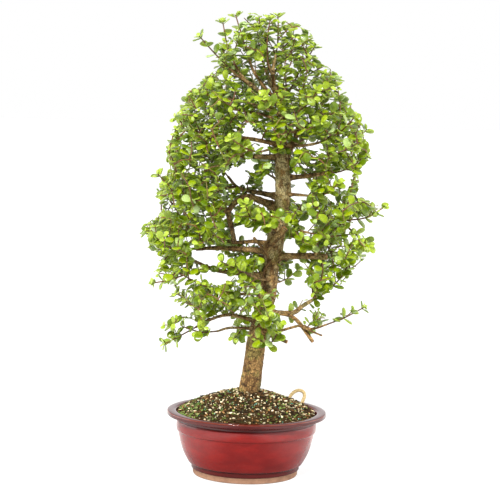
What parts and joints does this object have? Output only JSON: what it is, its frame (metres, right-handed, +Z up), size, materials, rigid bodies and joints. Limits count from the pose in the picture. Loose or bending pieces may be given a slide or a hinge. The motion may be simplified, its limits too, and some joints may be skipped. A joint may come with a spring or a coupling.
{
  "type": "dwarf jade bonsai",
  "caption": "Dwarf jade bonsai: an upright trunk with tiered leafy branches, in gritty soil, in a glazed oval pot with a flared lip.",
  "frame": {"origin": "centre of the flat underside of the pot's foot", "axes": "+Z up, +X along the pot's long axis to the right seen from the tree's front, the front faces -Y"},
  "size_m": [0.3989, 0.3009, 0.7425],
  "materials": {
    "glaze": "deep red gloss glaze, bare tan clay at the foot",
    "screen": "black plastic mesh",
    "soil": "loose mixed grit, bark and pumice",
    "rope": "twisted plant-fibre cord",
    "bark": "dry grey-brown bark",
    "leaf": "glossy fleshy leaf"
  },
  "bodies": {
    "root": {"pot": "glaze", "drain_screen_left": "screen", "drain_screen_right": "screen", "soil": "soil", "tie_rope": "rope", "tree_wood": "bark", "spray_left_stub": "leaf", "spray_left_low": "leaf", "spray_left_low_rear": "leaf", "spray_left_light": "leaf", "spray_left_dark": "leaf", "spray_left_tip_low": "leaf", "spray_left_mid": "leaf", "spray_left_mid_rear": "leaf", "spray_left_thick_arm": "leaf", "spray_left_far": "leaf", "spray_left_high": "leaf", "spray_left_high_far": "leaf", "spray_left_shade": "leaf", "spray_left_pale": "leaf", "spray_left_fan_rear": "leaf", "spray_left_fan": "leaf", "spray_crown_left": "leaf", "spray_crown_left_high": "leaf", "spray_crown_fan": "leaf", "spray_right_low": "leaf", "spray_right_low_up": "leaf", "spray_right_ringed": "leaf", "spray_right_base_twig": "leaf", "spray_right_riser": "leaf", "spray_right_shade": "leaf", "spray_right_far": "leaf", "spray_right_far_low": "leaf", "spray_right_far_rear": "leaf", "spray_right_mid": "leaf", "spray_right_high": "leaf", "spray_right_high_low": "leaf", "spray_right_upper": "leaf", "spray_right_upper_rear": "leaf", "spray_right_upper_back": "leaf", "spray_crown_right": "leaf", "spray_crown_right_high": "leaf", "spray_top_right": "leaf", "spray_top_rear": "leaf", "spray_top_front": "leaf", "spray_front_low": "leaf", "spray_front_left": "leaf", "spray_front_mid": "leaf", "spray_front_upper": "leaf", "spray_front_high": "leaf", "spray_rear_leader_top": "leaf", "spray_rear_low": "leaf", "spray_rear_left": "leaf", "spray_rear_right": "leaf", "spray_rear_high": "leaf", "spray_rear_upper": "leaf", "spray_rear_crown": "leaf", "spray_leader": "leaf"}
  },
  "joints": []
}
